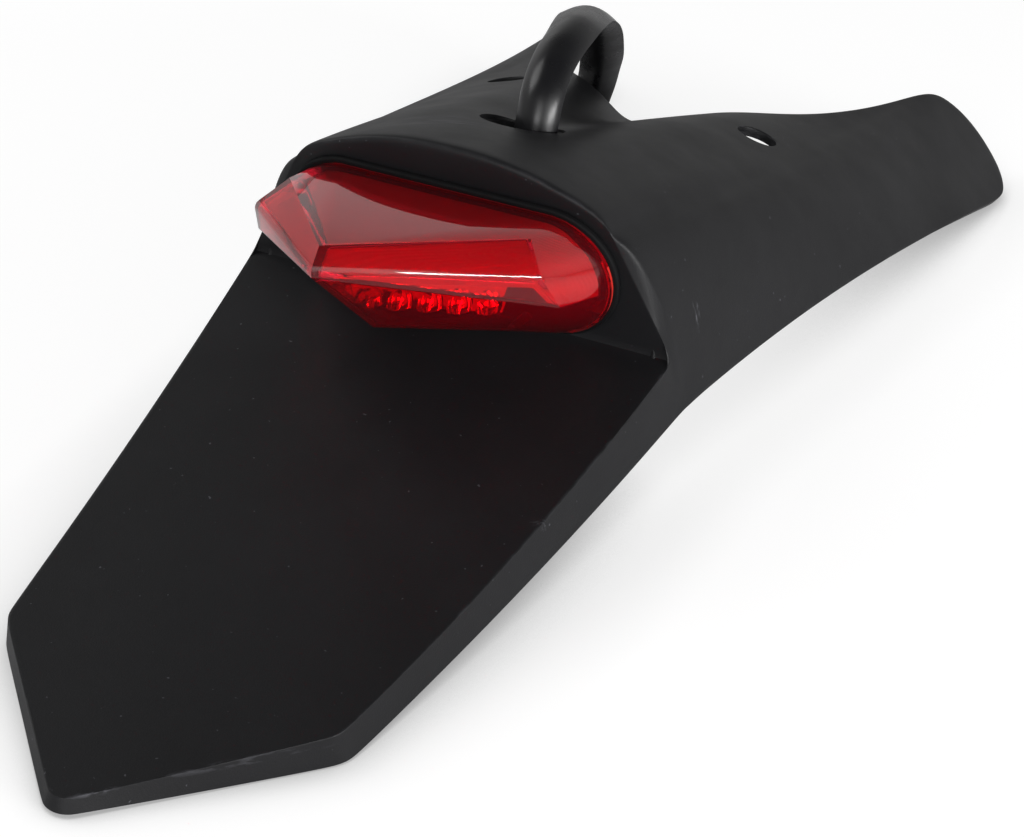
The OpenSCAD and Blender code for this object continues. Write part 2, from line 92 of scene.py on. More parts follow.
class ShellSizes(bpy.types.PropertyGroup):
    """Sizes of the moulded shell"""

    plate_half_low: length("Face half width, low", "Half width at the two lower corners", 38.3)
    plate_half_top: length("Face half width, top", "Half width at the lamp panel's foot", 55.3)
    plate_point: length("Point", "How far the point reaches below the two lower corners", 37.9)
    plate_length: length("Face length", "From the lower corners to the lamp panel's foot", 126.7)
    plate_side_bow: length("Side bow", "Outward curve of each long side at its middle", 0.8)
    plate_sag: length("Face sag", "How far the face sags between the corners and the lamp", 2.9)
    corner_r: length("Corner radius", "Radius at the two lower corners", 8)
    point_r: length("Point radius", "Radius at the point", 4)
    wall: length("Wall", "Wall of the moulding", 2.5)
    skirt_point: length("Skirt at point", "Depth of the skirt at the point", 2.6)
    skirt_corner: length("Skirt at corners", "Depth of the skirt at the lower corners", 6.7)
    skirt_lamp: length("Skirt at lamp", "Depth of the skirt beside the lamp panel", 16.2)
    skirt_lean: length("Skirt lean", "Outward lean of the skirt", 1.6)
    skirt_bow: length("Skirt bow", "How far the skirt's lower edge bows down", 1.2)
    hump_h: length("Hump height", "Height of the lamp panel at its middle", 44.6)
    hump_corner_h: length("Hump corner height", "Height of the panel at its upper corners", 31.2)
    hump_half: length("Hump half width", "Half width of the panel at its upper corners", 40)
    deck_rise: length("Deck rise", "Rise of the deck's centre line over a straight line", 3.2)
    wing_rise: length("Wing rise", "Rise of the wings' lower edge over a straight line", 5.8)
    shoulder_dip: length("Shoulder dip", "Dip of the shoulder below a straight line", 4.0)
    valley: length("Valley", "Depth of the deck's valley from the slot to the front edge", 3.0)
    hole_spacing: length("Hole spacing", "Distance between the two fender bolt holes", 74.6)
    hole_d: length("Hole diameter", "Diameter of the two fender bolt holes", 10.9)
    hole_ahead: length("Holes ahead", "How far forward of the lamp panel the holes lie", 108.4)
    slot_w: length("Slot width", "Width of the slot the cable leaves by", 20)
    slot_l: length("Slot length", "Length of that slot", 13)
    slot_ahead: length("Slot ahead", "How far forward of the lamp panel the slot lies", 39.3)
    edge_round: length("Edge rounding", "Rounding at the mouth of each hole", 0.5)
    slot_round: length("Slot rounding", "Rounding at the mouth of the slot", 0.8)
    smooth_steps: IntProperty(name="Smoothing", description="Subdivision steps", default=3, min=1)


class LampSizes(bpy.types.PropertyGroup):
    """Sizes of the rear lamp"""

    foot_half: length("Foot half length", "Half length of the lamp's foot on the panel", 41.2)
    foot_r: length("Foot radius", "End radius of the lamp's foot", 16.2)
    foot_z: length("Foot height", "Height of the foot's middle over the face", 17.8)
    gasket_t: length("Gasket thickness", "Thickness of the rubber gasket", 1.8)
    gasket_lip: length("Gasket lip", "How far the gasket shows round the lens", 1.2)
    lens_wall: length("Lens wall", "Wall of the lens", 2.2)
    edge_soft: length("Lens edges", "Rounding along the lens's edges", 0.7)
    ridge_soft: length("Ridge", "Rounding along the lens's front ridge", 1.5)
    bowls: IntProperty(name="Bowls", description="Bowls in each half of the plate", default=5, min=1)
    bowl_pitch: length("Bowl pitch", "Distance between neighbouring bowls", 6.6)
    bowl_d: length("Bowl mouth", "Mouth diameter of each bowl", 6.2)


class CableSizes(bpy.types.PropertyGroup):
    """Sizes of the cable"""

    sleeve_d: length("Sleeve diameter", "Diameter of the round part of the sleeve", 9.6)
    wire_d: length("Wire diameter", "Diameter of each wire", 1.9)


class Finishes(bpy.types.PropertyGroup):
    """Colours of the finishes, as written in a shader"""

    shell: colour("Shell", "Matte black polypropylene", (0.0075, 0.0075, 0.0085))
    lens: colour("Lens", "Clear red acrylic", (0.86, 0.006, 0.03))
    rubber: colour("Rubber", "Gasket and grommet", (0.004, 0.004, 0.0045))
    sleeve: colour("Sleeve", "Soft vinyl sleeve", (0.005, 0.005, 0.006))
    floor: colour("Floor", "Pale studio floor", (0.86, 0.86, 0.87))


def mix(a, b, t):
    return a + (b - a) * t


class ShellForm:
    """The shell's right half as rows of points, in the frame of its number plate face."""

    # The rim's arch and flank and the front edge: points measured in millimetres, the last two
    # forward of the lamp panel.
    RIM_X = (0, 7.5, 14, 20, 25.5, 30.5, 34.6, 37.8)
    RIM_DROP = (0, 0.2, 1, 2.3, 4.1, 6, 7.8, 10)
    FLANK = (
        (43.8, 1.3, 28.4),
        (47.3, 2.7, 22.2),
        (50.7, 3.9, 14.2),
        (53.6, 4.9, 4.8),
        (56.0, 5.5, -6.0),
        (57.9, 5.7, -16.4),
    )
    FRONT = (
        (0, 110.4, -13.8),
        (9.7, 118.5, -14.7),
        (18.2, 125.7, -16.3),
        (25.8, 131.7, -18.0),
        (34.0, 139.3, -21.2),
        (42.2, 151.7, -26.6),
        (49.6, 172.8, -35.4),
        (54.8, 194.3, -43.6),
        (60.4, 211.6, -48.8),
        (65.3, 215.4, -53.2),
        (70.5, 217.9, -58.6),
        (76.0, 218.7, -64.8),
        (81.5, 216.5, -70.1),
        (86.6, 209.9, -72.2),
        (90.8, 198.1, -71.8),
    )
    # Steps round the point, along the end and round the corner, and the corner's last row.
    POINT_STEPS = 3
    END_STEPS = 4
    CORNER_STEPS = 3
    CORNER_ROW = POINT_STEPS + END_STEPS + CORNER_STEPS
    CORNER_MIDDLE = 6 * MM
    FACE_ROWS = (12, 26, 41, 56, 71, 86, 100, 113)
    PANEL_ROWS = (0.3, 0.6, 0.86, 1)
    # The valley's share in the first columns, and where along the deck it begins and is full.
    VALLEY = (1, 0.55, 0.06)
    VALLEY_FROM = 0.26
    VALLEY_TO = 0.5
    DECK_ROWS = (0.04, 0.1, 0.18, 0.27, 0.36, 0.45, 0.54, 0.62, 0.7, 0.78, 0.86, 0.93, 1)

    def __init__(self, size):
        self.size = size
        self.length = size.plate_length
        self.outline = self.face_outline()
        self.foot_row = len(self.outline) - 1
        self.rim_row = self.foot_row + len(self.PANEL_ROWS)
        self.rim = [
            Vector((x * MM, self.length, size.hump_h - drop * MM))
            for x, drop in zip(self.RIM_X, self.RIM_DROP)
        ]
        self.rim.append(Vector((size.hump_half, self.length, size.hump_corner_h)))
        self.rim += [self.ahead(p) for p in self.FLANK]
        self.front = [self.ahead(p) for p in self.FRONT]
        self.rows = [self.face_row(i) for i in range(len(self.outline))]
        self.rows += [self.panel_row(f) for f in self.PANEL_ROWS]
        self.rows += [self.deck_row(t) for t in self.DECK_ROWS]

    def ahead(self, point):
        return Vector((point[0] * MM, self.length + point[1] * MM, point[2] * MM))

    def face_z(self, y):
        f = y / self.length
        return -4 * self.size.plate_sag * f * (1 - f)

    def side_x(self, y):
        f = y / self.length
        size = self.size
        return mix(size.plate_half_low, size.plate_half_top, f) + 4 * size.plate_side_bow * f * (1 - f)

    def skirt_h(self, y):
        size = self.size
        if y < 0:
            return mix(size.skirt_corner, size.skirt_point, -y / size.plate_point)
        f = y / self.length
        bow = 4 * size.skirt_bow * f * (1 - f)
        return mix(size.skirt_corner, size.skirt_lamp, f) + self.face_z(y) + bow

    def face_outline(self):
        """Points round the face, from the point to the lamp panel, each with its outward direction."""
        size = self.size
        end_a = math.atan2(size.plate_point, size.plate_half_low)
        side_a = math.atan2(self.length, size.plate_half_top - size.plate_half_low)
        turn = side_a - end_a
        self.point_y = -size.plate_point + size.point_r / math.cos(end_a) - size.point_r
        tangent = size.corner_r * math.tan(turn / 2)
        centre_x = size.plate_half_low - tangent * math.cos(end_a) - size.corner_r * math.sin(end_a)
        centre_y = -tangent * math.sin(end_a) + size.corner_r * math.cos(end_a)
        points = []
        for k in range(self.POINT_STEPS + 1):
            a = end_a * k / self.POINT_STEPS
            y = self.point_y + size.point_r * (1 - math.cos(a))
            points.append((size.point_r * math.sin(a), y, a))
        for k in range(1, self.END_STEPS + 1):
            s = mix(0.13, 0.93, k / self.END_STEPS)
            points.append((size.plate_half_low * s, -size.plate_point * (1 - s), end_a))
        for k in range(1, self.CORNER_STEPS + 1):
            a = end_a + turn * k / self.CORNER_STEPS
            x = centre_x + size.corner_r * math.sin(a)
            points.append((x, centre_y - size.corner_r * math.cos(a), a))
        for y in self.FACE_ROWS:
            points.append((self.side_x(y * MM), y * MM, side_a))
        points.append((self.side_x(self.length), self.length, side_a))
        return points

    def centre_y(self, i):
        """Where a row of the face crosses the centre line."""
        corner = self.CORNER_ROW
        if i <= corner:
            return mix(self.point_y, self.CORNER_MIDDLE, (i / corner) ** 1.15)
        return mix(self.CORNER_MIDDLE, self.length, (i - corner) / (self.foot_row - corner))

    def face_row(self, i):
        x, y, a = self.outline[i]
        z = self.face_z(y)
        middle = self.centre_y(i)
        row = []
        for j in range(N_TOP + 1):
            f = j / N_TOP
            row.append(Vector((x * f, mix(middle, y, f), mix(self.face_z(middle), z, f))))
        lean = self.size.skirt_lean
        for k in range(1, N_SIDE + 1):
            f = k / N_SIDE
            down = self.skirt_h(y) * f
            row.append(Vector((x + math.sin(a) * lean * f, y - math.cos(a) * lean * f, z - down)))
        return row

    def panel_row(self, f):
        foot = self.rows_foot()
        row = []
        for j in range(N_COL + 1):
            point = foot[j].lerp(self.rim[j], f)
            if j > N_TOP:
                g = (j - N_TOP) / N_SIDE
                point.x += 1.2 * MM * math.sin(math.pi * g) * f * (1 - f)
            row.append(point)
        return row

    def rows_foot(self):
        size = self.size
        foot = [Vector((size.plate_half_top * j / N_TOP, self.length, 0)) for j in range(N_TOP + 1)]
        for k in range(1, N_SIDE + 1):
            f = k / N_SIDE
            x, y = size.plate_half_top + size.skirt_lean * f, self.length + 0.2 * MM * f
            foot.append(Vector((x, y, -size.skirt_lamp * f)))
        return foot

    def deck_row(self, t):
        size = self.size
        swell = 4 * t * (1 - t)
        row = []
        for j in range(N_COL + 1):
            g = max(0, (j - N_TOP) / N_SIDE)
            c = 1 - min(j, N_TOP) / N_TOP
            point = self.rim[j].lerp(self.front[j], t)
            point.x += 0.8 * MM * swell * math.sin(math.pi * g)
            dip = size.shoulder_dip * (0.2 + 1.5 * t) * max(0, math.sin(math.radians(18 * (j - 3))))
            point.z += swell * (size.deck_rise * c + size.wing_rise * g * (1.25 - t / 2) - dip)
            if j < len(self.VALLEY):
                reached = (t - self.VALLEY_FROM) / (self.VALLEY_TO - self.VALLEY_FROM)
                point.z -= size.valley * self.VALLEY[j] * min(1, max(0, reached))
            row.append(point)
        return row


def resting_place():
    """Turns the face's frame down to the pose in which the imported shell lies."""
    return Matrix.Translation((0, -REST_BACK, REST_LIFT)) @ Matrix.Rotation(REST_PITCH, 4, "X")


def object_mode():
    if bpy.context.object and bpy.context.object.mode != "OBJECT":
        bpy.ops.object.mode_set(mode="OBJECT")
    bpy.ops.object.select_all(action="DESELECT")


def pick(obj):
    object_mode()
    obj.select_set(True)
    bpy.context.view_layer.objects.active = obj


def new_piece(name):
    """Names the object that the last primitive made."""
    obj = bpy.context.object
    obj.name = name
    obj.data.name = name
    return obj


def apply_modifiers(obj):
    pick(obj)
    for modifier in list(obj.modifiers):
        bpy.ops.object.modifier_apply(modifier=modifier.name)


def put(obj, place):
    """Moves a piece and keeps the move in its mesh."""
    pick(obj)
    obj.matrix_world = place
    bpy.ops.object.transform_apply(location=True, rotation=True, scale=True)
    return obj


def set_down(obj):
    """Moves a piece from the frame it was modelled in to its resting place."""
    put(obj, resting_place())


def smooth(obj, degrees):
    pick(obj)
    bpy.ops.object.shade_smooth_by_angle(angle=math.radians(degrees))


def coat(obj, material):
    obj.data.materials.clear()
    obj.data.materials.append(material)


def dress(obj, material, slot, *nodes):
    """Gives a finished piece its material, its body and the nodes that it stands for."""
    coat(obj, material)
    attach(obj, "root")
    if nodes:
        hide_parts(*nodes)


def dress_node(node, material):
    coat(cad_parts[node], material)


def edit(obj):
    pick(obj)
    bpy.ops.object.mode_set(mode="EDIT")
    bpy.ops.mesh.select_all(action="DESELECT")
    return bmesh.from_edit_mesh(obj.data)


def close_edit():
    """Turns every face outward and leaves edit mode."""
    bpy.ops.mesh.select_all(action="SELECT")
    bpy.ops.mesh.normals_make_consistent(inside=False)
    bpy.ops.object.mode_set(mode="OBJECT")


def recalculate_outward(obj):
    edit(obj)
    close_edit()


def cut(obj, tool, operation="DIFFERENCE", use_self=False):
    """Takes a tool out of a piece, or what lies outside it, and deletes the tool."""
    modifier = obj.modifiers.new("Cut", "BOOLEAN")
    modifier.operation = operation
    modifier.solver = "EXACT"
    modifier.use_self = use_self
    modifier.object = tool
    apply_modifiers(obj)
    bpy.data.objects.remove(tool)


def set_stops(ramp, stops):
    """Gives a colour ramp its stops, each a place and a grey or a colour."""
    while len(ramp.elements) < len(stops):
        ramp.elements.new(0.5)
    for element, (place, value) in zip(ramp.elements, stops):
        element.position = place
        element.color = (*value, 1) if isinstance(value, tuple) else (value, value, value, 1)


# Materials


class Paint:
    """A new material with its Principled shader and a few helpers to build its nodes."""

    def __init__(self, name, base, roughness, **inputs):
        self.material = bpy.data.materials.new(name)
        self.material.use_nodes = True
        self.nodes = self.material.node_tree.nodes
        self.links = self.material.node_tree.links
        self.shader = self.nodes["Principled BSDF"]
        self.shader.inputs["Base Color"].default_value = (*base, 1)
        self.shader.inputs["Roughness"].default_value = roughness
        for key, value in inputs.items():
            self.shader.inputs[key.replace("_", " ")].default_value = value
        self.coordinates = self.nodes.new("ShaderNodeTexCoord").outputs["Object"]

    def noise(self, scale, detail=3, roughness=0.5, stretch=None, source=None):
        node = self.nodes.new("ShaderNodeTexNoise")
        node.inputs["Scale"].default_value = scale
        node.inputs["Detail"].default_value = detail
        node.inputs["Roughness"].default_value = roughness
        source = source or self.coordinates
        if stretch:
            mapping = self.nodes.new("ShaderNodeMapping")
            mapping.inputs["Scale"].default_value = stretch
            self.links.new(source, mapping.inputs["Vector"])
            source = mapping.outputs["Vector"]
        self.links.new(source, node.inputs["Vector"])
        return node.outputs["Fac"]

    def ramp(self, factor, *stops):
        node = self.nodes.new("ShaderNodeValToRGB")
        set_stops(node.color_ramp, stops)
        self.links.new(factor, node.inputs["Fac"])
        return node.outputs["Color"]

    def blend(self, factor, a, b):
        node = self.nodes.new("ShaderNodeMix")
        node.data_type = "RGBA"
        self.links.new(factor, node.inputs["Factor"])
        for index, value in ((6, a), (7, b)):
            if isinstance(value, tuple):
                node.inputs[index].default_value = (*value, 1)
            else:
                self.links.new(value, node.inputs[index])
        return node.outputs[2]

    def mark(self, centre, half, turn):
        """1 inside an ellipsoid, fading to 0 at its surface, and the ellipsoid's own coordinates."""
        mapping = self.nodes.new("ShaderNodeMapping")
        mapping.vector_type = "TEXTURE"
        mapping.inputs["Location"].default_value = centre
        mapping.inputs["Rotation"].default_value = (0, 0, math.radians(turn))
        mapping.inputs["Scale"].default_value = half
        self.links.new(self.coordinates, mapping.inputs["Vector"])
        length = self.nodes.new("ShaderNodeVectorMath")
        length.operation = "LENGTH"
        self.links.new(mapping.outputs["Vector"], length.inputs[0])
        return self.ramp(length.outputs["Value"], (0.5, 1), (1, 0)), mapping.outputs["Vector"]

    def times(self, a, b):
        node = self.nodes.new("ShaderNodeMath")
        node.operation = "MULTIPLY"
        self.links.new(a, node.inputs[0])
        self.links.new(b, node.inputs[1])
        return node.outputs[0]

    def bump(self, height, strength, distance, under=None):
        """A bump of the given strength over the normal under it."""
        node = self.nodes.new("ShaderNodeBump")
        node.inputs["Strength"].default_value = strength
        node.inputs["Distance"].default_value = distance
        self.links.new(height, node.inputs["Height"])
        if under:
            self.links.new(under, node.inputs["Normal"])
        return node.outputs["Normal"]

    def wire(self, output, name):
        self.links.new(output, self.shader.inputs[name])

    def uneven(self, scale, detail, strength, distance):
        """Gives the surface a fine unevenness."""
        self.wire(self.bump(self.noise(scale, detail), strength, distance), "Normal")


# The shell's scuffs, and in the third and fourth rows a pale line along the lower edge's crease that is
# partly wear
# and partly a painted highlight: centre and half sizes in metres, turn about Z in degrees, how fine the
# streaks are along each axis, and how much paler than the shell.
SCUFFS_AND_EDGE_HIGHLIGHT = (
    ((-0.0150, -0.0180, 0.0690), (0.016, 0.009, 0.020), 32, (1, 12, 1), 9),
    ((0.0550, -0.0178, 0.0378), (0.0025, 0.0018, 0.0055), 0, (2, 2, 1), 11),
    ((0.0205, -0.1752, 0.0053), (0.028, 0.0013, 0.0012), 45, (6, 1, 1), 4),
    ((0.0050, -0.1902, 0.0047), (0.0065, 0.0012, 0.0012), 45, (2, 1, 1), 8),
    ((0.0484, -0.0878, 0.0184), (0.0035, 0.0012, 0.0030), 30, (2, 3, 3), 6),
)


def shell_material(finishes):
    """Matte black moulded plastic with a fine grain, faint clouding, a few pale scuffs, and paler edges
    that are partly wear and partly a painted highlight.
    """
    base = tuple(finishes.shell)
    paint = Paint("shell_plastic", base, 0.5, Specular_IOR_Level=0.24)
    clouds = paint.noise(28, 4, 0.6)
    lighter = tuple(c * 1.2 for c in base)
    darker = tuple(c * 0.9 for c in base)
    shell_colour = paint.ramp(clouds, (0.3, darker), (0.7, lighter))
    paint.wire(paint.ramp(paint.noise(60, 4, 0.6), (0.3, 0.45), (0.75, 0.53)), "Roughness")
    # Sharp edges are made paler in patches: a painted highlight where rounded edges catch light, partly
    # wear.
    pointed = paint.nodes.new("ShaderNodeNewGeometry").outputs["Pointiness"]
    edges = paint.ramp(pointed, (0.52, 0), (0.58, 1))
    patches = paint.ramp(paint.noise(240, 3), (0.45, 0), (0.62, 1))
    shell_colour = paint.blend(paint.times(edges, patches), shell_colour, tuple(c * 4 for c in base))
    # Pale marks: scuffs, and along the lower crease a painted highlight that is partly wear.
    for centre, half, turn, streaks, tint in SCUFFS_AND_EDGE_HIGHLIGHT:
        inside, own = paint.mark(centre, half, turn)
        lines = paint.ramp(paint.noise(1, 3, 0.6, streaks, own), (0.5, 0), (0.62, 1))
        shell_colour = paint.blend(paint.times(inside, lines), shell_colour, tuple(c * tint for c in base))
    specks = paint.ramp(paint.noise(800, 1), (0.77, 0), (0.82, 1))
    paint.wire(paint.blend(specks, shell_colour, tuple(c * 9 for c in base)), "Base Color")
    grain = paint.noise(2600, 3, 0.6)
    waves = paint.bump(paint.noise(70, 2), 0.12, 0.0006)
    paint.wire(paint.bump(grain, 0.35, 0.00012, waves), "Normal")
    return paint.material


def glossy_material(name, base, roughness, unevenness, **inputs):
    """A clear or bright finish with a fine unevenness: its scale, detail, strength and distance."""
    paint = Paint(name, base, roughness, **inputs)
    paint.uneven(*unevenness)
    return paint.material


def lens_material(finishes):
    """Clear red acrylic."""
    unevenness = (220, 2, 0.03, 0.0002)
    return glossy_material(
        "lens_acrylic", tuple(finishes.lens), 0.03, unevenness, Transmission_Weight=0.94, IOR=1.49
    )


def lens_edge_material():
    """The lens's ground back edge, where the light that runs in its wall comes out."""
    unevenness = (600, 2, 0.1, 0.0001)
    return glossy_material(
        "lens_back_edge", (0.75, 0.03, 0.02), 0.4, unevenness, Transmission_Weight=0.25, IOR=1.49
    )


def rubber_material(finishes):
    paint = Paint("black_rubber", tuple(finishes.rubber), 0.8, Specular_IOR_Level=0.12)
    paint.wire(paint.ramp(paint.noise(150, 3), (0.35, 0.6), (0.7, 0.8)), "Roughness")
    paint.uneven(900, 3, 0.2, 0.0001)
    return paint.material


def sleeve_material(finishes):
    """Soft vinyl, a little glossy, with small dents."""
    paint = Paint("vinyl_sleeve", tuple(finishes.sleeve), 0.28, Specular_IOR_Level=0.42)
    paint.wire(paint.ramp(paint.noise(120, 3), (0.3, 0.22), (0.7, 0.36)), "Roughness")
    dents = paint.bump(paint.noise(110, 2, 0.5), 0.12, 0.0005)
    paint.wire(paint.bump(paint.noise(900, 2), 0.08, 0.0001, dents), "Normal")
    return paint.material


def plastic_material(name, base, roughness):
    """Plain moulded plastic with a light unevenness."""
    paint = Paint(name, base, roughness)
    low, high = tuple(c * 0.88 for c in base), tuple(min(1, c * 1.12) for c in base)
    paint.wire(paint.ramp(paint.noise(120, 3), (0.35, low), (0.65, high)), "Base Color")
    paint.uneven(1200, 2, 0.15, 0.0001)
    return paint.material


def metal_material(name, base, roughness):
    """Plated steel or brass with fine marks."""
    paint = Paint(name, base, roughness, Metallic=1.0)
    marks = paint.noise(400, 4, 0.6)
    paint.wire(paint.ramp(marks, (0.3, roughness * 0.8), (0.7, min(1, roughness * 1.3))), "Roughness")
    paint.wire(paint.bump(marks, 0.08, 0.0001), "Normal")
    return paint.material


def reflector_material():
    return glossy_material(
        "bright_reflector", (0.92, 0.92, 0.93), 0.06, (260, 2, 0.08, 0.0003), Metallic=1.0
    )


def shelf_material():
    """Silver-painted plastic with fine ribs set across it."""
    paint = Paint("silver_shelf", (0.8, 0.8, 0.8), 0.35, Metallic=0.2)
    ribs = paint.nodes.new("ShaderNodeTexWave")
    ribs.inputs["Scale"].default_value = 500
    ribs.inputs["Distortion"].default_value = 0.3
    turn = paint.nodes.new("ShaderNodeMapping")
    turn.inputs["Rotation"].default_value = (0, 0, math.radians(35))
    paint.links.new(paint.coordinates, turn.inputs["Vector"])
    paint.links.new(turn.outputs["Vector"], ribs.inputs["Vector"])
    paint.wire(paint.bump(ribs.outputs["Fac"], 0.25, 0.0002), "Normal")
    return paint.material


def led_material():
    return glossy_material(
        "led_epoxy", (1.0, 0.55, 0.35), 0.08, (500, 2, 0.05, 0.0001), Transmission_Weight=0.6, IOR=1.5
    )


def clear_material():
    return glossy_material(
        "clear_vinyl", (0.9, 0.9, 0.9), 0.15, (500, 2, 0.1, 0.0001), Transmission_Weight=0.85, IOR=1.45
    )


# Shell


def grid_from_rows(name, rows):
    """A grid primitive whose points are set out on the given rows."""
    across, along = len(rows[0]) - 1, len(rows) - 1
    object_mode()
    bpy.ops.mesh.primitive_grid_add(x_subdivisions=across, y_subdivisions=along, size=2)
    obj = new_piece(name)
    points = sorted(obj.data.vertices, key=lambda v: (round(v.co.y, 5), round(v.co.x, 5)))
    for n, point in enumerate(points):
        point.co = rows[n // (across + 1)][n % (across + 1)]
    order = {v.index: n for n, v in enumerate(points)}
    mark = obj.data.attributes.new("place", "INT", "POINT")
    for v in obj.data.vertices:
        mark.data[v.index].value = order[v.index]
    return obj


def crease_edges(obj, across, wanted):
    """Creases the edges whose two grid places are in wanted(row, column, row, column)."""
    mesh = bmesh.new()
    mesh.from_mesh(obj.data)
    place = mesh.verts.layers.int["place"]
    crease = mesh.edges.layers.float.get("crease_edge") or mesh.edges.layers.float.new("crease_edge")
    for edge in mesh.edges:
        a, b = (divmod(v[place], across + 1) for v in edge.verts)
        edge[crease] = max(edge[crease], wanted(*a, *b))
    mesh.to_mesh(obj.data)
    mesh.free()


class TAILTIDY_OT_shell(bpy.types.Operator):
    """Models the one-piece shell: pointed face, skirt, lamp hump, deck and wings"""

    bl_idname = "tail_tidy.shell"
    bl_label = "Moulded shell"
    # How sharp the creases are: under the lamp panel, round the face and down the panel's sides.
    FOOT_CREASE = 0.85
    FACE_CREASE = 0.8
    PANEL_CREASE = 0.85

    def execute(self, context):
        size = context.scene.tail_tidy_shell
        form = ShellForm(size)
        shell = grid_from_rows("shell_skin", form.rows)

        def sharpness(row_a, col_a, row_b, col_b):
            last_row, last_col = max(row_a, row_b), max(col_a, col_b)
            if row_a == row_b == form.foot_row and last_col <= N_TOP:
                return self.FOOT_CREASE
            if row_a == row_b == form.rim_row:
                # The rim's arch sharpens outward and fades again down its flank.
                return max(0, 0.12 + 0.04 * last_col - 0.16 * max(0, last_col - N_TOP))
            if col_a == col_b == N_TOP:
                if last_row <= form.foot_row:
                    return self.FACE_CREASE
                if last_row <= form.rim_row:
                    return self.PANEL_CREASE
                return max(0, 0.3 - 0.1 * (last_row - form.rim_row))
            return 0

        crease_edges(shell, N_COL, sharpness)
        edit(shell)
        bpy.ops.mesh.select_all(action="SELECT")
        bpy.ops.mesh.remove_doubles(threshold=0.01 * MM)
        bpy.ops.object.mode_set(mode="OBJECT")
        mirror = shell.modifiers.new("Other half", "MIRROR")
        mirror.use_clip = True
        mirror.merge_threshold = 0.02 * MM
        apply_modifiers(shell)
        recalculate_outward(shell)
        if sum(face.normal.z for face in shell.data.polygons) < 0:
            shell.data.flip_normals()
        wall = shell.modifiers.new("Wall", "SOLIDIFY")
        wall.thickness = size.wall
        wall.offset = -1
        wall.use_even_offset = True
        wall.thickness_clamp = 1
        wall.edge_crease_outer = 0.85
        wall.edge_crease_inner = 0.85
        soften = shell.modifiers.new("Soften", "SUBSURF")
        soften.levels = soften.render_levels = size.smooth_steps
        apply_modifiers(shell)
        for cutter in mouth_cutters(shell, size) + hole_cutters(size):
            cut(shell, cutter)
        set_down(shell)
        smooth(shell, 50)
        dress(shell, shell_material(context.scene.tail_tidy_finishes), "shell", "tail_shell")
        return {"FINISHED"}


def part_halves(obj, apart):
    """Moves the two halves of a round body apart along X, which makes a straight slot of it."""
    mesh = bmesh.from_edit_mesh(obj.data)
    for v in mesh.verts:
        if abs(v.co.x) > TINY:
            v.co.x += math.copysign(apart, v.co.x)
    bmesh.update_edit_mesh(obj.data)


def flare(name, straight, radius, soft, place):
    """A cutter that rounds the mouth of a hole or slot, with the surface at z = 0."""
    # Height over the surface and widening of each ring, as shares of the rounding.
    steps = ((-1.0, 0), (-0.62, 0.08), (-0.3, 0.3), (-0.08, 0.62), (0, 1.0), (4.0, 1.1))
    object_mode()
    bpy.ops.mesh.primitive_circle_add(vertices=64, radius=radius, fill_type="NGON")
    obj = new_piece(name)
    edit(obj)
    bpy.ops.mesh.select_all(action="SELECT")
    last_z, last_r = -soft - 1 * MM, radius
    bpy.ops.transform.translate(value=(0, 0, last_z))
    for rise, widen in steps:
        z, r = rise * soft, radius + widen * soft
        bpy.ops.mesh.extrude_region_move(TRANSFORM_OT_translate={"value": (0, 0, z - last_z)})
        bpy.ops.transform.resize(value=(r / last_r, r / last_r, 1), center_override=(0, 0, z))
        last_z, last_r = z, r
    part_halves(obj, straight)
    close_edit()
    return put(obj, place)


def on_deck(shell, x, y):
    """A place on the shell's upper skin above x, y, turned so that its Z axis is the skin's normal."""
    hit, point, normal, _ = shell.ray_cast(Vector((x, y, 0.2)), Vector((0, 0, -1)))
    if not hit:
        raise RuntimeError("no deck under a hole")
    return Matrix.Translation(point) @ normal.to_track_quat("Z", "Y").to_matrix().to_4x4()


def bar(name, radius, height, place, vertices=64):
    object_mode()
    bpy.ops.mesh.primitive_cylinder_add(vertices=vertices, radius=radius, depth=height)
    return put(new_piece(name), place)


def slot_bar(name, half, radius, height, place):
    """A bar whose section is a straight slot with round ends."""
    object_mode()
    bpy.ops.mesh.primitive_cylinder_add(vertices=64, radius=radius, depth=height)
    obj = new_piece(name)
    edit(obj)
    part_halves(obj, half - radius)
    return put(obj, place)


def mouth_cutters(shell, size):
    y0 = size.plate_length
    cutters = []
    for side in (-1, 1):
        place = on_deck(shell, side * size.hole_spacing / 2, y0 + size.hole_ahead)
        cutters.append(flare("hole_mouth", 0, size.hole_d / 2, size.edge_round, place))
    place = on_deck(shell, 0, y0 + size.slot_ahead)
    straight = (size.slot_w - size.slot_l) / 2
    cutters.append(flare("slot_mouth", straight, size.slot_l / 2, size.slot_round, place))
    return cutters


def hole_cutters(size):
    upright = Matrix.Rotation(-REST_PITCH, 4, "X")
    y0 = size.plate_length
    cutters = []
    for side in (-1, 1):
        at = (side * size.hole_spacing / 2, y0 + size.hole_ahead, DECK_AT_HOLES)
        cutters.append(bar("hole_cutter", size.hole_d / 2, DECK_CUT, Matrix.Translation(at) @ upright))
    place = Matrix.Translation((0, y0 + size.slot_ahead, DECK_AT_SLOT)) @ upright
    cutters.append(slot_bar("slot_cutter", size.slot_w / 2, size.slot_l / 2, DECK_CUT, place))
    lamp = bpy.context.scene.tail_tidy_lamp
    place = Matrix.Translation((0, y0 + 2 * MM, lamp.foot_z)) @ ALONG_Y
    cutters.append(bar("wire_hole_cutter", WIRE_HOLE_R, PANEL_CUT, place))
    for side in (-1, 1):
        place = Matrix.Translation((side * STUD_HALF, y0 + 2 * MM, lamp.foot_z)) @ ALONG_Y
        cutters.append(bar("stud_hole_cutter", STUD_HOLE_R, PANEL_CUT, place))
    return cutters


# Lamp


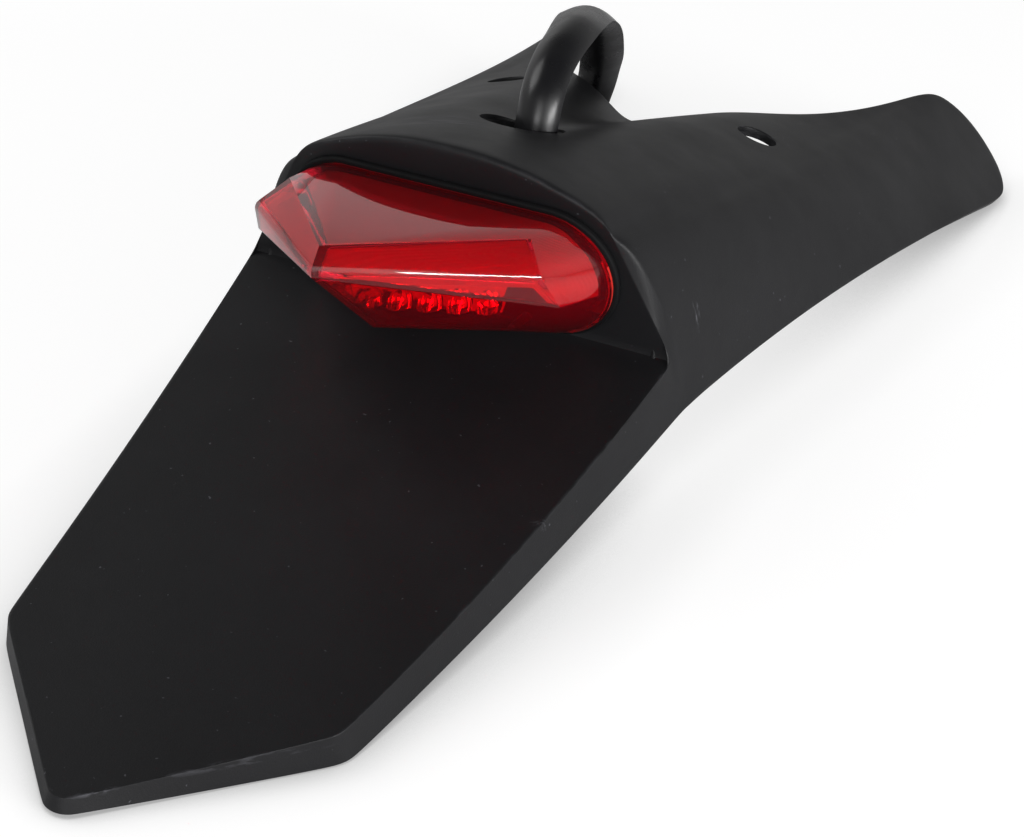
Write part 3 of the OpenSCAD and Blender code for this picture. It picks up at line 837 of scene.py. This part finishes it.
class LensForm:
    """The lens's corners on its right half, in millimetres behind the panel and over the foot."""

    TOP_TIP = (0, 54.3, 37.2)
    TOP_MID = (29.5, 17.6, 22.5)
    RIDGE_TIP = (0, 58.7, 33.5)
    RIDGE_END = (35.0, 24.6, 18.6)
    SIDE_END = (37.5, 20.6, 8.5)
    KEEL_A = (0, 44.4, 14.0)
    KEEL_B = (0, 36.5, 3.2)
    INWARD = {
        "TOP_TIP": (0, 2.6, -2.7),
        "TOP_MID": (-2.7, 1.2, -2.7),
        "RIDGE_TIP": (0, 2.8, -2.1),
        "RIDGE_END": (-2.9, 1.8, -2.2),
        "SIDE_END": (-2.6, 1.4, 0),
        "KEEL_A": (0, 3.6, 0.6),
        "KEEL_B": (0, 2.6, 1.6),
    }

    def __init__(self, shell, lamp):
        self.lamp = lamp
        self.back_y = shell.plate_length - lamp.gasket_t

    def corner(self, name):
        x, y, z = getattr(self, name)
        return Vector((x * MM, self.back_y - y * MM, self.lamp.foot_z + z * MM))

    def corners(self, wall):
        """The corners, each moved inward by its share of the wall."""
        k = wall / self.lamp.lens_wall
        return [self.corner(name) + Vector(inward) * MM * k for name, inward in self.INWARD.items()]

    def on_ridge(self, place):
        """Whether a corner of the lens is one of the ridge's three."""
        folded = Vector((abs(place.x), place.y, place.z))
        ends = (self.corner("RIDGE_TIP"), self.corner("RIDGE_END"))
        return any((folded - end).length < 0.2 * MM for end in ends)

    def hull(self, name, wall, past):
        """The lens's convex body, its faces moved inward by wall and its back moved out by past."""
        lamp = self.lamp
        radius = lamp.foot_r - wall
        half = lamp.foot_half - lamp.foot_r
        mouth = 0.8 * MM
        depth = mouth + past
        place = Matrix.Translation((0, self.back_y + past - depth / 2, lamp.foot_z)) @ ALONG_Y
        obj = slot_bar(name, half + radius, radius, depth, place)
        mesh = edit(obj)
        for point in self.corners(wall):
            for side in (-1, 1):
                mesh.verts.new((side * point.x, point.y, point.z))
        bmesh.update_edit_mesh(obj.data)
        bpy.ops.mesh.select_all(action="SELECT")
        bpy.ops.mesh.convex_hull()
        bpy.ops.mesh.select_all(action="SELECT")
        bpy.ops.mesh.dissolve_limited(angle_limit=math.radians(0.5))
        close_edit()
        return obj


def round_edges(obj, width, least, segments=3, where=None):
    """Rounds the edges that turn by more than the least angle, in degrees."""
    edit(obj)
    bpy.ops.mesh.select_mode(type="EDGE")
    mesh = bmesh.from_edit_mesh(obj.data)
    for edge in mesh.edges:
        sharp = len(edge.link_faces) == 2 and edge.calc_face_angle() > math.radians(least)
        edge.select = sharp and (where is None or where(edge))
    mesh.select_flush_mode()
    bmesh.update_edit_mesh(obj.data)
    bpy.ops.mesh.bevel(offset=width, segments=segments, profile=0.5, affect="EDGES", clamp_overlap=True)
    bpy.ops.mesh.select_mode(type="VERT")
    bpy.ops.object.mode_set(mode="OBJECT")


class TAILTIDY_OT_lens(bpy.types.Operator):
    """Models the wedge-shaped lens with its hollow"""

    bl_idname = "tail_tidy.lens"
    bl_label = "Lens"

    def execute(self, context):
        scene = context.scene
        lamp = scene.tail_tidy_lamp
        form = LensForm(scene.tail_tidy_shell, lamp)
        lens = form.hull("lens", 0, 0)
        back = form.back_y

        def clear_of_back(gap):
            return lambda edge: all(v.co.y < back - gap for v in edge.verts)

        round_edges(lens, lamp.ridge_soft, 12, 6, lambda e: all(form.on_ridge(v.co) for v in e.verts))
        round_edges(lens, lamp.edge_soft, 14, 4, clear_of_back(0.5 * MM))
        hollow = form.hull("lens_hollow", lamp.lens_wall, 1 * MM)
        round_edges(hollow, lamp.edge_soft, 12, 3, clear_of_back(2 * MM))
        cut(lens, hollow)
        points = lens.data.vertices
        ring = [
            face.index
            for face in lens.data.polygons
            if all(points[v].co.y > back - 1 * MM for v in face.vertices)
        ]
        set_down(lens)
        smooth(lens, 24)
        dress(lens, lens_material(scene.tail_tidy_finishes), "lens", "lamp_lens")
        lens.data.materials.append(lens_edge_material())
        for index in ring:
            lens.data.polygons[index].material_index = 1
        return {"FINISHED"}


class TAILTIDY_OT_gasket(bpy.types.Operator):
    """Models the rubber gasket with its rounded lip"""

    bl_idname = "tail_tidy.gasket"
    bl_label = "Gasket"

    def execute(self, context):
        scene = context.scene
        lamp = scene.tail_tidy_lamp
        half, radius = lamp.foot_half + lamp.gasket_lip, lamp.foot_r + lamp.gasket_lip
        middle_y = scene.tail_tidy_shell.plate_length - lamp.gasket_t / 2
        place = Matrix.Translation((0, middle_y, lamp.foot_z)) @ ALONG_Y
        gasket = slot_bar("gasket", half, radius, lamp.gasket_t, place)
        round_edges(gasket, 0.6 * MM, 50, 4)
        set_down(gasket)
        smooth(gasket, 40)
        dress(gasket, rubber_material(scene.tail_tidy_finishes), "gasket", "lamp_gasket")
        return {"FINISHED"}


class TAILTIDY_OT_reflector(bpy.types.Operator):
    """Models the reflector: a bent plate of bowls and a bright shelf under the lens's top"""

    bl_idname = "tail_tidy.reflector"
    bl_label = "Reflector"

    def execute(self, context):
        scene = context.scene
        lamp = scene.tail_tidy_lamp
        form = LensForm(scene.tail_tidy_shell, lamp)
        bright = reflector_material()
        halves = [put(self.bowl_plate(lamp), self.half_place(form, side)) for side in (-1, 1)]
        plate = halves[0]
        pick(plate)
        halves[1].select_set(True)
        bpy.ops.object.join()
        room = form.hull("reflector_room", lamp.lens_wall + 0.25 * MM, 0)
        cut(plate, room, "INTERSECT", use_self=True)
        set_down(plate)
        smooth(plate, 35)
        dress(plate, bright, "reflector")
        dress_node("lamp_reflector", bright)
        shelf = self.shelf(form)
        set_down(shelf)
        smooth(shelf, 30)
        dress(shelf, shelf_material(), "reflector")
        dress_node("lamp_leds", led_material())
        return {"FINISHED"}

    def half_place(self, form, side):
        """Where one half of the bent plate lies: it runs back and up along the lens's keel."""
        along = Vector((side * 0.72, 0.62, -0.27)).normalized()
        look = Vector((side * 0.35, -0.9, 0.1))
        look = (look - along * look.dot(along)).normalized()
        turn = Matrix((along, -look, along.cross(-look))).transposed().to_4x4()
        behind, over = 43.5 * MM, 17 * MM
        return Matrix.Translation((0, form.back_y - behind, form.lamp.foot_z + over)) @ turn

    def bowl_plate(self, lamp):
        """A thin plate with deep round bowls, its front face on y = 0."""
        width = lamp.bowls * lamp.bowl_pitch + 0.4 * MM
        object_mode()
        bpy.ops.mesh.primitive_cube_add(
            size=1, location=(width / 2, PLATE_T / 2, 0), scale=(width, PLATE_T, PLATE_H)
        )
        plate = new_piece("bowl_plate")
        bpy.ops.object.transform_apply(location=True, rotation=True, scale=True)
        round_edges(plate, 0.4 * MM, 50, 3)
        bowls = []
        for k in range(lamp.bowls):
            place = Matrix.Translation(((k + 0.52) * lamp.bowl_pitch, 0, 0))
            half = lamp.bowl_d / 2
            cut(plate, self.bowl("bowl_cutter", half - BOWL_WALL / 2, BOWL_DEPTH - 0.1 * MM, place))
            bowl = self.bowl("bowl", half + 0.02 * MM, BOWL_DEPTH, place)
            wall = bowl.modifiers.new("Wall", "SOLIDIFY")
            wall.thickness = BOWL_WALL
            wall.offset = -1
            apply_modifiers(bowl)
            bowls.append(bowl)
        pick(plate)
        for bowl in bowls:
            bowl.select_set(True)
        bpy.ops.object.join()
        return plate

    def bowl(self, name, radius, depth, place):
        """A deep round bowl that opens to -Y; as a cutter it is closed across its mouth."""
        object_mode()
        bpy.ops.mesh.primitive_uv_sphere_add(segments=36, ring_count=24, radius=1)
        obj = new_piece(name)
        edit(obj)
        bpy.ops.mesh.select_all(action="SELECT")
        closed = name.endswith("cutter")
        bpy.ops.mesh.bisect(plane_co=(0, 0, 0), plane_no=(0, 0, 1), clear_outer=True, use_fill=closed)
        mesh = bmesh.from_edit_mesh(obj.data)
        for v in mesh.verts:
            if v.co.z > -1e-4 and closed:
                v.co.z = 0.05
        bmesh.update_edit_mesh(obj.data)
        close_edit()
        shape = Matrix.Diagonal((radius, radius * 1.3, depth, 1))
        return put(obj, place @ ALONG_Y @ shape)

    def shelf(self, form):
        """The bright shelf close under the lens's flat top."""
        inset = form.lamp.lens_wall + SHELF_GAP
        shelf = form.hull("reflector_shelf", inset, 0)
        lower = form.hull("shelf_cutter", inset, 0)
        for v in lower.data.vertices:
            v.co.z -= SHELF_T
        cut(shelf, lower)
        edit(shelf)
        back = Vector((0, form.back_y - 3.4 * MM, 0))
        low = Vector((0, 0, form.lamp.foot_z - 1 * MM))
        for co, no in ((back, Vector((0, 1, 0))), (low, Vector((0, 0, -1)))):
            bpy.ops.mesh.select_all(action="SELECT")
            bpy.ops.mesh.bisect(plane_co=co, plane_no=no, clear_outer=True, use_fill=True)
        close_edit()
        return shelf


class TAILTIDY_OT_hardware(bpy.types.Operator):
    """Gives the lamp's base, board, seal, studs, nuts, washers and screws their finishes"""

    bl_idname = "tail_tidy.hardware"
    bl_label = "Small hardware"

    def execute(self, context):
        finishes = context.scene.tail_tidy_finishes
        steel = metal_material("zinc_plate", (0.62, 0.62, 0.63), 0.32)
        rubber = rubber_material(finishes)
        dress_node("lens_seal", rubber)
        dress_node("cable_grommet", rubber)
        dress_node("lamp_base", plastic_material("lamp_base_plastic", (0.02, 0.02, 0.021), 0.45))
        dress_node("lamp_board", plastic_material("board_lacquer", (0.65, 0.62, 0.58), 0.35))
        dress_node("lamp_resistors", plastic_material("resistor_body", (0.03, 0.03, 0.03), 0.4))
        for node in ("lens_screws", "lamp_studs", "stud_washers", "stud_nuts"):
            dress_node(node, steel)
        return {"FINISHED"}


# Cable


def catmull(points, steps):
    """A smooth run of points through the given ones."""
    run = []
    last = len(points) - 1
    for i in range(last):
        a, b = points[max(i - 1, 0)], points[i]
        c, d = points[i + 1], points[min(i + 2, last)]
        for k in range(steps):
            t = k / steps
            square = (2 * a - 5 * b + 4 * c - d) * t**2
            cube = (3 * b - a - 3 * c + d) * t**3
            run.append(0.5 * (2 * b + (c - a) * t + square + cube))
    run.append(points[last])
    return run


class CableRoute:
    """Where the sleeve and its wires run, in millimetres forward of the lamp panel."""

    SLEEVE = (
        (0, 10.9, 17.8), (0.2, 15.3, 17.9), (1.2, 22.3, 18.1), (2.4, 29.3, 18.8), (3.2, 34.9, 20.8),
        (3.5, 38.8, 24.6), (3.5, 41.3, 29), (3.2, 44.7, 33), (2.7, 50.2, 36), (2.2, 57, 37.4),
        (1.6, 64.3, 37.2), (0.4, 72.3, 36), (-1.6, 80.8, 33), (-4.0, 89.3, 28.6), (-6.2, 98.3, 22.4),
        (-8.6, 106.8, 15), (-11.4, 114.8, 6.6), (-14.8, 123.6, -3), (-18.8, 131.8, -12.8),
        (-22.4, 138, -22.4), (-25.2, 140.4, -31), (-26.4, 139, -39), (-25.6, 132.8, -46.6),
        (-23.4, 126, -52.4), (-20.2, 116.6, -52), (-17, 105.3, -49.8),
    )
    # How flat the sleeve is at each of its points, from round to creased.
    FLATNESS = (
        0, 0, 0, 0.1, 0.2, 0.3, 0.3, 0.35, 0.4, 0.5, 0.6, 0.75, 0.85, 0.85, 0.85,
        0.8, 0.75, 0.65, 0.5, 0.4, 0.3, 0.2, 0.1, 0, 0, 0,
    )
    # Each wire's place in the sleeve's mouth, and its points beyond it.
    WIRES = {
        "wire_red": (
            (-1.7, -0.9), (-19.6, 95.3, -50.4), (-22, 85.3, -49.2), (-24.4, 75.3, -47),
            (-25.4, 65.3, -44.4), (-25.6, 55.3, -42),
        ),
        "wire_yellow": (
            (1.7, -0.9), (-14, 95.3, -50.4), (-10.8, 85.3, -49.2), (-8, 75.3, -47),
            (-6.8, 65.3, -44.4), (-6.4, 55.3, -42),
        ),
        "wire_black": (
            (0, 1.5), (-17, 95.3, -48.6), (-16.6, 85.3, -48.4), (-16.2, 75.3, -46.8),
            (-16, 65.3, -44.4), (-16, 55.3, -42),
        ),
    }
    BORE = 7 * MM
    STEPS = 6

    def __init__(self, shell):
        self.y0 = shell.plate_length
        self.sleeve = [self.at(p) for p in self.SLEEVE]
        self.run = (self.sleeve[-1] - self.sleeve[-2]).normalized()

    def at(self, point):
        return Vector((point[0] * MM, self.y0 + point[1] * MM, point[2] * MM))

    def wire(self, name):
        spread, *lay = self.WIRES[name]
        off = Vector((spread[0] * MM, 0, spread[1] * MM))
        off -= self.run * off.dot(self.run)
        start = self.sleeve[-1] + off
        return [start - self.run * self.BORE, start] + [self.at(p) for p in lay]


def tube(name, path, half_w, half_t, sides, pinched=None):
    """A closed tube along a path, with a half width, a half thickness and a pinch at each point."""
    mesh = bmesh.new()
    rings = []
    last = len(path) - 1
    for i, point in enumerate(path):
        along = (path[min(i + 1, last)] - path[max(i - 1, 0)]).normalized()
        across = Vector((1, 0.05, 0))
        across = (across - along * across.dot(along)).normalized()
        up = along.cross(across)
        ring = []
        for k in range(sides):
            a = 2 * math.pi * k / sides
            pinch = abs(math.sin(a)) ** (pinched[i] if pinched else 0)
            offset = across * half_w[i] * math.cos(a) + up * half_t[i] * math.sin(a) * pinch
            ring.append(mesh.verts.new(point + offset))
        rings.append(ring)
    for a, b in zip(rings, rings[1:]):
        for k in range(sides):
            n = (k + 1) % sides
            mesh.faces.new((a[k], a[n], b[n], b[k]))
    mesh.faces.new(rings[0][::-1])
    mesh.faces.new(rings[-1])
    data = bpy.data.meshes.new(name)
    mesh.to_mesh(data)
    mesh.free()
    obj = bpy.data.objects.new(name, data)
    bpy.context.collection.objects.link(obj)
    recalculate_outward(obj)
    return obj


class TAILTIDY_OT_cable(bpy.types.Operator):
    """Lays the vinyl sleeve over the deck and its three wires under it"""

    bl_idname = "tail_tidy.cable"
    bl_label = "Cable"

    def execute(self, context):
        scene = context.scene
        size = scene.tail_tidy_cable
        route = CableRoute(scene.tail_tidy_shell)
        path = catmull(route.sleeve, route.STEPS)
        flatness = catmull([Vector((f, 0, 0)) for f in route.FLATNESS], route.STEPS)
        flat = [max(0, v.x) for v in flatness]
        half_w = [size.sleeve_d / 2 * (1 + 0.5 * f) for f in flat]
        half_t = [size.sleeve_d / 2 * (1 - 0.5 * f) for f in flat]
        sleeve = tube("sleeve", path, half_w, half_t, 48, [1.5 * f for f in flat])
        mouth = Matrix.Translation(route.sleeve[-1] - route.run * route.BORE)
        mouth = mouth @ route.run.to_track_quat("Z", "Y").to_matrix().to_4x4()
        mouth = mouth @ Matrix.Translation((0, 0, route.BORE / 2 + 0.5 * MM))
        cut(sleeve, bar("sleeve_bore", size.sleeve_d / 2 - 0.6 * MM, route.BORE + 1 * MM, mouth, 32))
        set_down(sleeve)
        smooth(sleeve, 60)
        dress(sleeve, sleeve_material(scene.tail_tidy_finishes), "sleeve", "cable_sleeve")
        self.declare(sleeve, path, size.sleeve_d)
        self.wires(size, route)
        return {"FINISHED"}

    def declare(self, piece, path, diameter):
        """Does nothing: the piece, the path and the diameter are not used."""

    def wires(self, size, route):
        paints = {
            "wire_red": (0.45, 0.01, 0.01),
            "wire_yellow": (0.7, 0.42, 0.02),
            "wire_black": (0.012, 0.012, 0.013),
        }
        for name, base in paints.items():
            path = catmull(route.wire(name), route.STEPS)
            radii = [size.wire_d / 2] * len(path)
            wire = tube(name + "_insulation", path, radii, radii, 20)
            set_down(wire)
            smooth(wire, 60)
            dress(wire, plastic_material(name + "_vinyl", base, 0.35), name, name)
            self.declare(wire, path, size.wire_d)
        dress_node("wire_bullets", metal_material("brass", (0.68, 0.47, 0.2), 0.3))
        dress_node("bullet_covers", clear_material())


# Stage


# Power in watts, width and height, place and aim of each light.
LIGHTS = {
    "left_softbox": (5, (0.7, 0.7), (-1.0, -0.1, 0.9), (0, 0, 0.03)),
    "right_softbox": (4, (0.9, 0.9), (1.3, -0.9, 0.45), (0, 0, 0.03)),
    "front_softbox": (12, (0.8, 0.8), (0.3, -1.6, 0.5), (0, 0, 0.03)),
    "ridge_light": (11, (0.6, 0.16), (1.2, -0.32, 0.25), (0, -0.07, 0.06)),
}
# The world's brightness by the height of the direction.
SKY = ((0.0, 0.45), (0.12, 0.55), (0.28, 0.55), (0.45, 0.3), (0.75, 0.12))
FLOOR_GLOW = 0.82
SHADOW_REACH = 0.03
CAMERA_AT = (0.1768, -0.4146, 0.2515)
CAMERA_TURN = (59.368, -3.293, 24.980)
CAMERA_LENS = 70.2
CAMERA_SHIFT = (0.0076, -0.0042)


def area_light(name, power, size, place, aim):
    light = bpy.data.lights.new(name, "AREA")
    light.energy = power
    light.shape = "RECTANGLE"
    light.size, light.size_y = size
    obj = bpy.data.objects.new(name, light)
    bpy.context.collection.objects.link(obj)
    obj.location = place
    obj.rotation_euler = (Vector(aim) - Vector(place)).to_track_quat("-Z", "Y").to_euler()


class TAILTIDY_OT_stage(bpy.types.Operator):
    """Sets the pale floor, the studio lights and the camera"""

    bl_idname = "tail_tidy.stage"
    bl_label = "Stage"

    def execute(self, context):
        scene = context.scene
        object_mode()
        bpy.ops.mesh.primitive_plane_add(size=8, location=(0, 0, 0))
        floor = new_piece("floor")
        bpy.ops.object.transform_apply(location=True, rotation=True, scale=True)
        floor.data.materials.append(self.floor_material(scene.tail_tidy_finishes))
        self.world(scene)
        for name, light in LIGHTS.items():
            area_light(name, *light)
        camera = bpy.data.objects.new("camera", bpy.data.cameras.new("camera"))
        bpy.context.collection.objects.link(camera)
        camera.location = CAMERA_AT
        camera.rotation_euler = [math.radians(a) for a in CAMERA_TURN]
        camera.data.sensor_width = 36
        camera.data.lens = CAMERA_LENS
        camera.data.shift_x, camera.data.shift_y = CAMERA_SHIFT
        camera.data.clip_start = 0.01
        scene.camera = camera
        scene.view_settings.view_transform = "Standard"
        return {"FINISHED"}

    def floor_material(self, finishes):
        """White where it is seen, with a soft shadow close to the part; pale for its bounced light."""
        paint = Paint("pale_floor", tuple(finishes.floor), 0.9, Specular_IOR_Level=0.0)
        nodes, links = paint.nodes, paint.links
        glow = nodes.new("ShaderNodeEmission")
        open_sky = nodes.new("ShaderNodeAmbientOcclusion")
        open_sky.inputs["Distance"].default_value = SHADOW_REACH
        open_sky.samples = 8
        glow.inputs["Strength"].default_value = FLOOR_GLOW
        links.new(paint.ramp(open_sky.outputs["AO"], (0.4, 0.35), (0.97, 1)), glow.inputs["Color"])
        add = nodes.new("ShaderNodeAddShader")
        path = nodes.new("ShaderNodeLightPath")
        pick_shader = nodes.new("ShaderNodeMixShader")
        pale = nodes.new("ShaderNodeBsdfDiffuse")
        pale.inputs["Color"].default_value = (0.3, 0.3, 0.3, 1)
        seen = nodes.new("ShaderNodeMath")
        seen.operation = "MAXIMUM"
        links.new(path.outputs["Is Camera Ray"], seen.inputs[0])
        links.new(path.outputs["Is Transmission Ray"], seen.inputs[1])
        links.new(pale.outputs[0], add.inputs[0])
        links.new(glow.outputs[0], add.inputs[1])
        links.new(seen.outputs[0], pick_shader.inputs[0])
        links.new(paint.shader.outputs[0], pick_shader.inputs[1])
        links.new(add.outputs[0], pick_shader.inputs[2])
        under = nodes.new("ShaderNodeMixShader")
        below = nodes.new("ShaderNodeNewGeometry")
        links.new(below.outputs["Backfacing"], under.inputs[0])
        links.new(pick_shader.outputs[0], under.inputs[1])
        links.new(nodes.new("ShaderNodeBsdfTransparent").outputs[0], under.inputs[2])
        links.new(under.outputs[0], nodes["Material Output"].inputs["Surface"])
        return paint.material

    def world(self, scene):
        """A dim studio for the part, and plain white behind it."""
        world = bpy.data.worlds.new("studio")
        scene.world = world
        world.use_nodes = True
        nodes, links = world.node_tree.nodes, world.node_tree.links
        dim = nodes["Background"]
        direction = nodes.new("ShaderNodeTexCoord")
        parts = nodes.new("ShaderNodeSeparateXYZ")
        links.new(direction.outputs["Generated"], parts.inputs[0])
        height = nodes.new("ShaderNodeValToRGB")
        set_stops(height.color_ramp, SKY)
        links.new(parts.outputs["Z"], height.inputs["Fac"])
        links.new(height.outputs["Color"], dim.inputs["Color"])
        white = nodes.new("ShaderNodeBackground")
        white.inputs["Color"].default_value = (1, 1, 1, 1)
        path = nodes.new("ShaderNodeLightPath")
        pick_shader = nodes.new("ShaderNodeMixShader")
        links.new(path.outputs["Is Camera Ray"], pick_shader.inputs[0])
        links.new(dim.outputs[0], pick_shader.inputs[1])
        links.new(white.outputs[0], pick_shader.inputs[2])
        links.new(pick_shader.outputs[0], nodes["World Output"].inputs["Surface"])


class TAILTIDY_PT_panel(bpy.types.Panel):
    """Lists the pieces of the tail tidy"""

    bl_label = "Tail tidy"
    bl_idname = "TAILTIDY_PT_panel"
    bl_space_type = "VIEW_3D"
    bl_region_type = "UI"
    bl_category = "Tail tidy"

    def draw(self, context):
        for operator in OPERATORS:
            self.layout.operator(operator.bl_idname)
        for name in SIZE_GROUPS:
            group = getattr(context.scene, name)
            box = self.layout.box()
            for key in group.__annotations__:
                box.prop(group, key)


SIZE_GROUPS = {
    "tail_tidy_shell": ShellSizes,
    "tail_tidy_lamp": LampSizes,
    "tail_tidy_cable": CableSizes,
    "tail_tidy_finishes": Finishes,
}
OPERATORS = (
    TAILTIDY_OT_stage,
    TAILTIDY_OT_cable,
    TAILTIDY_OT_shell,
    TAILTIDY_OT_gasket,
    TAILTIDY_OT_lens,
    TAILTIDY_OT_reflector,
    TAILTIDY_OT_hardware,
)


def register():
    for group in SIZE_GROUPS.values():
        bpy.utils.register_class(group)
    for name, group in SIZE_GROUPS.items():
        setattr(bpy.types.Scene, name, PointerProperty(type=group))
    for operator in OPERATORS:
        bpy.utils.register_class(operator)
    bpy.utils.register_class(TAILTIDY_PT_panel)


def unregister():
    bpy.utils.unregister_class(TAILTIDY_PT_panel)
    for operator in reversed(OPERATORS):
        bpy.utils.unregister_class(operator)
    for name in SIZE_GROUPS:
        delattr(bpy.types.Scene, name)
    for group in SIZE_GROUPS.values():
        bpy.utils.unregister_class(group)


def main():
    register()
    for operator in OPERATORS:
        group, name = operator.bl_idname.split(".")
        getattr(getattr(bpy.ops, group), name)()
    object_mode()


if __name__ == "__main__":
    main()
